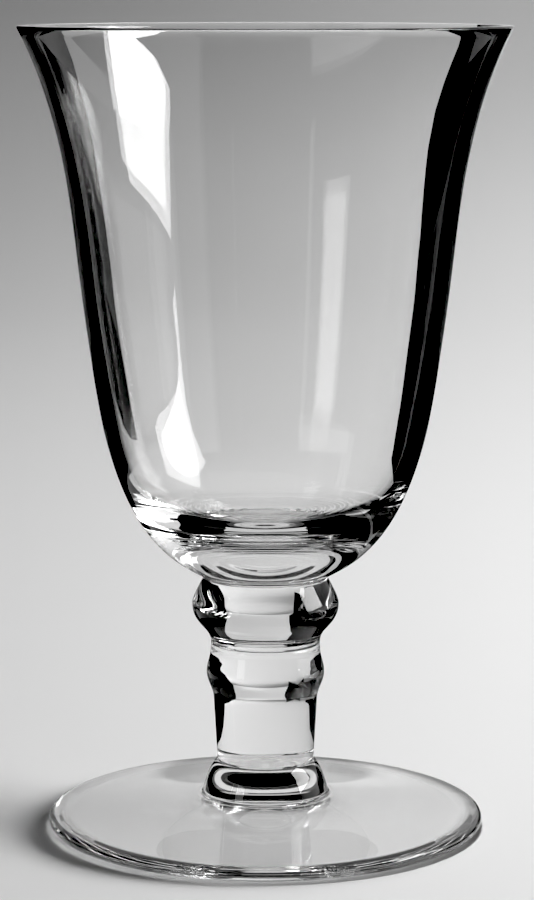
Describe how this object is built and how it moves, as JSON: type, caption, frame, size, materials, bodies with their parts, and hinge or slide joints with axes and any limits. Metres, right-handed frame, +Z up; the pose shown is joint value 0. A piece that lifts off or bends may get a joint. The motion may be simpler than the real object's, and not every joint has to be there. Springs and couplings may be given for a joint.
{
  "type": "iced tea glass",
  "caption": "Clear footed iced tea glass: a flared bell bowl with a thick base on a rounded knop, a short stem with a smaller knop, and a wide round foot.",
  "frame": {"origin": "middle of the foot's contact ring, on the surface that the glass stands on", "axes": "+Z up along the axis that every piece is turned about, from the foot to the rim; X and Y are free, because the glass is round"},
  "size_m": [0.1016, 0.1016, 0.168],
  "materials": {
    "clear_glass": "polished, colourless and undecorated"
  },
  "bodies": {
    "root": {"bowl": "clear_glass", "upper_knop": "clear_glass", "stem": "clear_glass", "foot": "clear_glass"}
  },
  "joints": []
}
